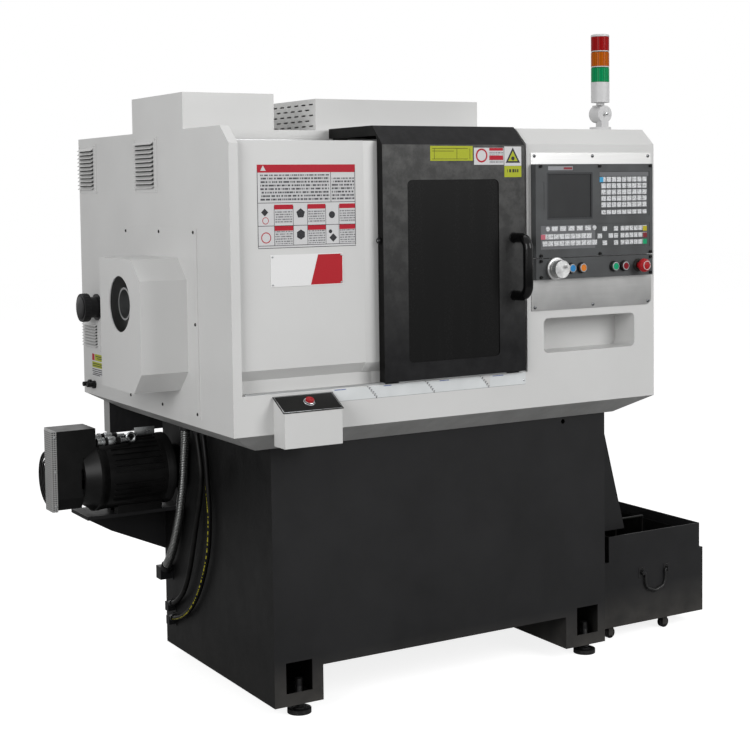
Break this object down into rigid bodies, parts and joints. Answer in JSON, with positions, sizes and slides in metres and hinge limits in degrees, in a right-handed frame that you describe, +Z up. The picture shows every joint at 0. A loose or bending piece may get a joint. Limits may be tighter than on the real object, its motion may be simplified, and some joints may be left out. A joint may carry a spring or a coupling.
{
  "type": "enclosed cnc lathe",
  "caption": "Compact enclosed CNC lathe: white sheet enclosure with sliding door and control station on a dark base, side motor, tower light, chip chute and roll-out coolant tank.",
  "frame": {"origin": "middle of the footprint at floor level", "axes": "+X along the spindle towards the tailstock side (operator's right), +Y from the operator to the back, +Z up"},
  "size_m": [1.958, 1.174, 1.8325],
  "materials": {
    "white_paint": "satin off-white powder coat",
    "base_paint": "fine-textured charcoal powder coat",
    "tray_paint": "satin mid-grey paint",
    "tank_paint": "fine-textured charcoal powder coat",
    "door_paint": "fine-textured dark grey powder coat",
    "guard_paint": "pale grey perforated sheet",
    "black_steel": "semi-gloss black paint",
    "brushed_steel": "brushed stainless sheet",
    "steel": "ground steel",
    "aluminium": "turned",
    "cast_iron": "painted casting",
    "panel_grey": "matt membrane and moulded frame",
    "screen": "dark gloss",
    "key_plastic": "matt keys",
    "blue_cap": "gloss",
    "orange_cap": "gloss",
    "green_cap": "gloss",
    "red_cap": "gloss",
    "grey_plastic": "satin",
    "lens_plastic": "clear coloured lenses",
    "tinted_glass": "dark tinted polycarbonate",
    "black_plastic": "satin black",
    "belt_rubber": "matt",
    "hose_grey": "ribbed grey conduit",
    "hose_black": "matt",
    "caster_rubber": "hard rubber"
  },
  "bodies": {
    "machine": {"base_cabinet": "base_paint", "base_runners": "base_paint", "motor_bracket": "base_paint", "levelling_feet": "black_steel", "drip_tray": "tray_paint", "left_end_panel": "white_paint", "outer_panels": "white_paint", "roof_panel": "white_paint", "front_frame": "white_paint", "front_panel": "white_paint", "end_cover": "white_paint", "louvre_plates": "white_paint", "side_fittings": "black_plastic", "roof_boxes": "white_paint", "control_plate": "brushed_steel", "controller_panel": "panel_grey", "screen_glass": "screen", "panel_keys": "key_plastic", "aux_panel": "panel_grey", "start_box": "white_paint", "door_rails": "steel", "tower_base": "grey_plastic", "headstock": "cast_iron", "spindle_bearings": "steel", "drive_belt": "belt_rubber", "motor_body": "black_steel", "motor_cowl": "black_steel", "fan_guard": "guard_paint", "machine_bed": "cast_iron", "conduit_hose": "hose_grey", "black_hose": "hose_black", "striped_hose": "hose_black", "chip_chute": "base_paint"},
    "door": {"sliding_door": "door_paint", "door_window": "tinted_glass", "door_handle": "black_plastic"},
    "spindle_set": {"spindle": "steel", "collet_chuck": "steel", "spindle_pulley": "aluminium"},
    "motor_shaft": {"motor_rotor": "steel", "motor_pulley": "aluminium"},
    "pulse_wheel": {"handwheel": "aluminium"},
    "blue_cap": {"blue_button": "blue_cap"},
    "orange_cap": {"orange_button": "orange_cap"},
    "green_cap": {"green_button": "green_cap"},
    "red_cap": {"red_button": "red_cap"},
    "stop_cap": {"stop_button": "red_cap"},
    "start_cap": {"start_button": "red_cap"},
    "lamp": {"tower_stem": "grey_plastic", "tower_lenses": "lens_plastic"},
    "z_slide": {"carriage": "cast_iron"},
    "x_slide": {"cross_slide": "cast_iron", "tool_holders": "black_steel"},
    "tank_car": {"coolant_tank": "tank_paint", "chip_basket": "tank_paint"},
    "bail": {"tank_handle": "black_steel"},
    "wheel_1": {"caster_1": "caster_rubber"},
    "wheel_2": {"caster_2": "caster_rubber"},
    "wheel_3": {"caster_3": "caster_rubber"},
    "wheel_4": {"caster_4": "caster_rubber"}
  },
  "joints": [
    {"name": "door_slide", "type": "slide", "parent": "machine", "child": "door", "axis": [1, 0, 0], "range_m": [-0.39, 0]},
    {"name": "spindle_turn", "type": "hinge", "parent": "machine", "child": "spindle_set", "pos_m": [-0.425, -0.081, 1.092], "axis": [1, 0, 0], "continuous": true},
    {"name": "motor_turn", "type": "hinge", "parent": "machine", "child": "motor_shaft", "pos_m": [-0.725, 0.209, 0.585], "axis": [1, 0, 0], "continuous": true},
    {"name": "pulse_wheel_turn", "type": "hinge", "parent": "machine", "child": "pulse_wheel", "pos_m": [0.26, -0.517, 1.1605], "axis": [0, -1, 0], "continuous": true},
    {"name": "blue_press", "type": "slide", "parent": "machine", "child": "blue_cap", "axis": [0, 1, 0], "range_m": [0, 0.004], "stiffness_N_per_m": 300},
    {"name": "orange_press", "type": "slide", "parent": "machine", "child": "orange_cap", "axis": [0, 1, 0], "range_m": [0, 0.004], "stiffness_N_per_m": 300},
    {"name": "green_press", "type": "slide", "parent": "machine", "child": "green_cap", "axis": [0, 1, 0], "range_m": [0, 0.004], "stiffness_N_per_m": 300},
    {"name": "red_press", "type": "slide", "parent": "machine", "child": "red_cap", "axis": [0, 1, 0], "range_m": [0, 0.004], "stiffness_N_per_m": 300},
    {"name": "stop_press", "type": "slide", "parent": "machine", "child": "stop_cap", "axis": [0, 1, 0], "range_m": [0, 0.004], "stiffness_N_per_m": 600},
    {"name": "start_press", "type": "slide", "parent": "machine", "child": "start_cap", "axis": [0, 0.493, -0.87], "range_m": [0, 0.004], "stiffness_N_per_m": 300},
    {"name": "lamp_tilt", "type": "hinge", "parent": "machine", "child": "lamp", "pos_m": [0.531, -0.383, 1.6], "axis": [0, 1, 0], "range_deg": [-90, 90]},
    {"name": "z_travel", "type": "slide", "parent": "machine", "child": "z_slide", "axis": [1, 0, 0], "range_m": [-0.06, 0.1]},
    {"name": "x_travel", "type": "slide", "parent": "z_slide", "child": "x_slide", "axis": [0, 1, 0], "range_m": [-0.01, 0.1]},
    {"name": "tank_roll", "type": "slide", "parent": "machine", "child": "tank_car", "axis": [1, 0, 0], "range_m": [0, 0.4]},
    {"name": "bail_fold", "type": "hinge", "parent": "tank_car", "child": "bail", "pos_m": [0.779, -0.339, 0.196], "axis": [1, 0, 0], "range_deg": [-100, 0]},
    {"name": "wheel_1_roll", "type": "hinge", "parent": "tank_car", "child": "wheel_1", "pos_m": [0.623, -0.303, 0.017], "axis": [0, 1, 0], "continuous": true},
    {"name": "wheel_2_roll", "type": "hinge", "parent": "tank_car", "child": "wheel_2", "pos_m": [0.623, 0.177, 0.017], "axis": [0, 1, 0], "continuous": true},
    {"name": "wheel_3_roll", "type": "hinge", "parent": "tank_car", "child": "wheel_3", "pos_m": [0.84, -0.303, 0.017], "axis": [0, 1, 0], "continuous": true},
    {"name": "wheel_4_roll", "type": "hinge", "parent": "tank_car", "child": "wheel_4", "pos_m": [0.84, 0.177, 0.017], "axis": [0, 1, 0], "continuous": true}
  ],
  "couplings": [
    {"joint": "motor_turn", "follows": "spindle_turn", "ratio": 2},
    {"joint": "wheel_1_roll", "follows": "tank_roll", "rad_per_m": 58.824},
    {"joint": "wheel_2_roll", "follows": "tank_roll", "rad_per_m": 58.824},
    {"joint": "wheel_3_roll", "follows": "tank_roll", "rad_per_m": 58.824},
    {"joint": "wheel_4_roll", "follows": "tank_roll", "rad_per_m": 58.824}
  ]
}
